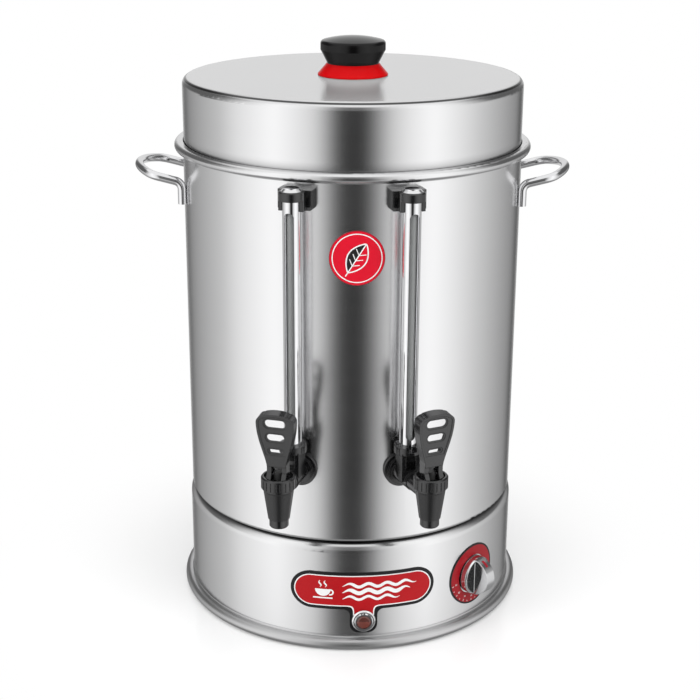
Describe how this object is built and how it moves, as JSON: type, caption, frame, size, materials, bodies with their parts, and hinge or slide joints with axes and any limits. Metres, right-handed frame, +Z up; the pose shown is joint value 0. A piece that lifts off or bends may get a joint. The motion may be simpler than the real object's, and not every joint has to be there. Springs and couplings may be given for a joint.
{
  "type": "tea urn",
  "caption": "Round steel tea urn on a heated base, with a deep lift-off lid, side loop handles, lever taps with sight gauges, a thermostat dial and a pilot lamp.",
  "frame": {"origin": "on the tank's axis, on the flat underside that the urn stands on", "axes": "+Z up along the tank's axis, -Y to the front where the taps are, +X to the right seen from the front"},
  "size_m": [0.413, 0.4071, 0.5498],
  "materials": {
    "tank_steel": "fine brushed satin",
    "lid_steel": "fine brushed satin",
    "base_steel": "fine brushed satin",
    "cover_steel": "plain sheet",
    "handle_chrome": "polished",
    "guard_chrome": "polished",
    "lamp_chrome": "polished",
    "knob_chrome": "polished",
    "red_plate": "printed red with a black edge and a pale line",
    "red_dial": "printed red ring with pale marks",
    "red_badge": "printed bright red",
    "red_knob": "glossy red",
    "black_knob": "glossy black",
    "lens": "dark red lens",
    "tap_plastic": "satin black",
    "glass": "clear tube",
    "seat_rubber": "pale silicone",
    "black_rubber": "black",
    "spring_steel": "bright drawn",
    "zinc": "plated",
    "brass": "plain",
    "element_steel": "dull sheath",
    "black_plastic": "plain black",
    "pale_plastic": "pale cream"
  },
  "bodies": {
    "urn": {"base_shell": "base_steel", "base_cover": "cover_steel", "cover_screws": "zinc", "name_plate": "red_plate", "lamp_ring": "lamp_chrome", "lamp_lens": "lens", "lamp_body": "black_plastic", "lamp_nut": "black_plastic", "dial_plate": "red_dial", "thermostat_body": "pale_plastic", "thermostat_screws": "zinc", "sensor_tube": "zinc", "heating_element": "element_steel", "element_nuts": "brass", "element_gaskets": "seat_rubber", "thermal_cutout": "black_plastic", "terminal_block": "pale_plastic", "cable_gland": "black_plastic", "gland_nut": "black_plastic", "tank_nuts": "zinc", "tank_body": "tank_steel", "round_badge": "red_badge", "left_handle": "handle_chrome", "right_handle": "handle_chrome", "brew_vessel": "tank_steel", "brew_pipe": "tank_steel", "left_tap_body": "tap_plastic", "right_tap_body": "tap_plastic", "left_tap_bonnet": "tap_plastic", "right_tap_bonnet": "tap_plastic", "left_tap_spring": "spring_steel", "right_tap_spring": "spring_steel", "tap_nuts": "brass", "tap_gaskets": "black_rubber", "left_gauge_block": "tap_plastic", "right_gauge_block": "tap_plastic", "left_gauge_guard": "guard_chrome", "right_gauge_guard": "guard_chrome", "left_gauge_glass": "glass", "right_gauge_glass": "glass", "left_gauge_cap": "tap_plastic", "right_gauge_cap": "tap_plastic", "gauge_plugs": "guard_chrome", "gauge_seals": "black_rubber", "gauge_screws": "zinc"},
    "filter": {"tea_filter": "tank_steel"},
    "lid": {"lid_shell": "lid_steel", "lid_knob_base": "red_knob", "lid_knob_cap": "black_knob", "lid_knob_screw": "zinc"},
    "thermostat": {"thermostat_knob": "knob_chrome", "thermostat_shaft": "zinc"},
    "left_stem": {"left_tap_stem": "tap_plastic", "left_tap_seat": "seat_rubber"},
    "left_lever": {"left_tap_lever": "tap_plastic", "left_lever_pin": "spring_steel"},
    "right_stem": {"right_tap_stem": "tap_plastic", "right_tap_seat": "seat_rubber"},
    "right_lever": {"right_tap_lever": "tap_plastic", "right_lever_pin": "spring_steel"}
  },
  "joints": [
    {"name": "filter_lift", "type": "slide", "parent": "urn", "child": "filter", "axis": [0, 0, 1], "range_m": [0, 0.2]},
    {"name": "lid_lift", "type": "slide", "parent": "filter", "child": "lid", "axis": [0, 0, 1], "range_m": [0, 0.2]},
    {"name": "left_stem_lift", "type": "slide", "parent": "urn", "child": "left_stem", "axis": [0, 0, 1], "range_m": [0, 0.00314], "stiffness_N_per_m": 400, "springref_m": -0.003, "deforming": ["left_tap_spring"]},
    {"name": "left_lever_tip", "type": "hinge", "parent": "left_stem", "child": "left_lever", "pos_m": [-0.06225, -0.21309, 0.19985], "axis": [0.9636, -0.2672, 0], "range_deg": [0, 40]},
    {"name": "right_stem_lift", "type": "slide", "parent": "urn", "child": "right_stem", "axis": [0, 0, 1], "range_m": [0, 0.00314], "stiffness_N_per_m": 400, "springref_m": -0.003, "deforming": ["right_tap_spring"]},
    {"name": "right_lever_tip", "type": "hinge", "parent": "right_stem", "child": "right_lever", "pos_m": [0.07008, -0.21016, 0.19985], "axis": [0.9026, 0.4305, 0], "range_deg": [0, 40]},
    {"name": "thermostat_turn", "type": "hinge", "parent": "urn", "child": "thermostat", "pos_m": [0.11833, -0.11035, 0.0525], "axis": [-0.7314, 0.682, 0], "range_deg": [0, 270]}
  ],
  "couplings": [
    {"joint": "left_lever_tip", "follows": "left_stem_lift", "rad_per_m": 222.22},
    {"joint": "right_lever_tip", "follows": "right_stem_lift", "rad_per_m": 222.22}
  ]
}
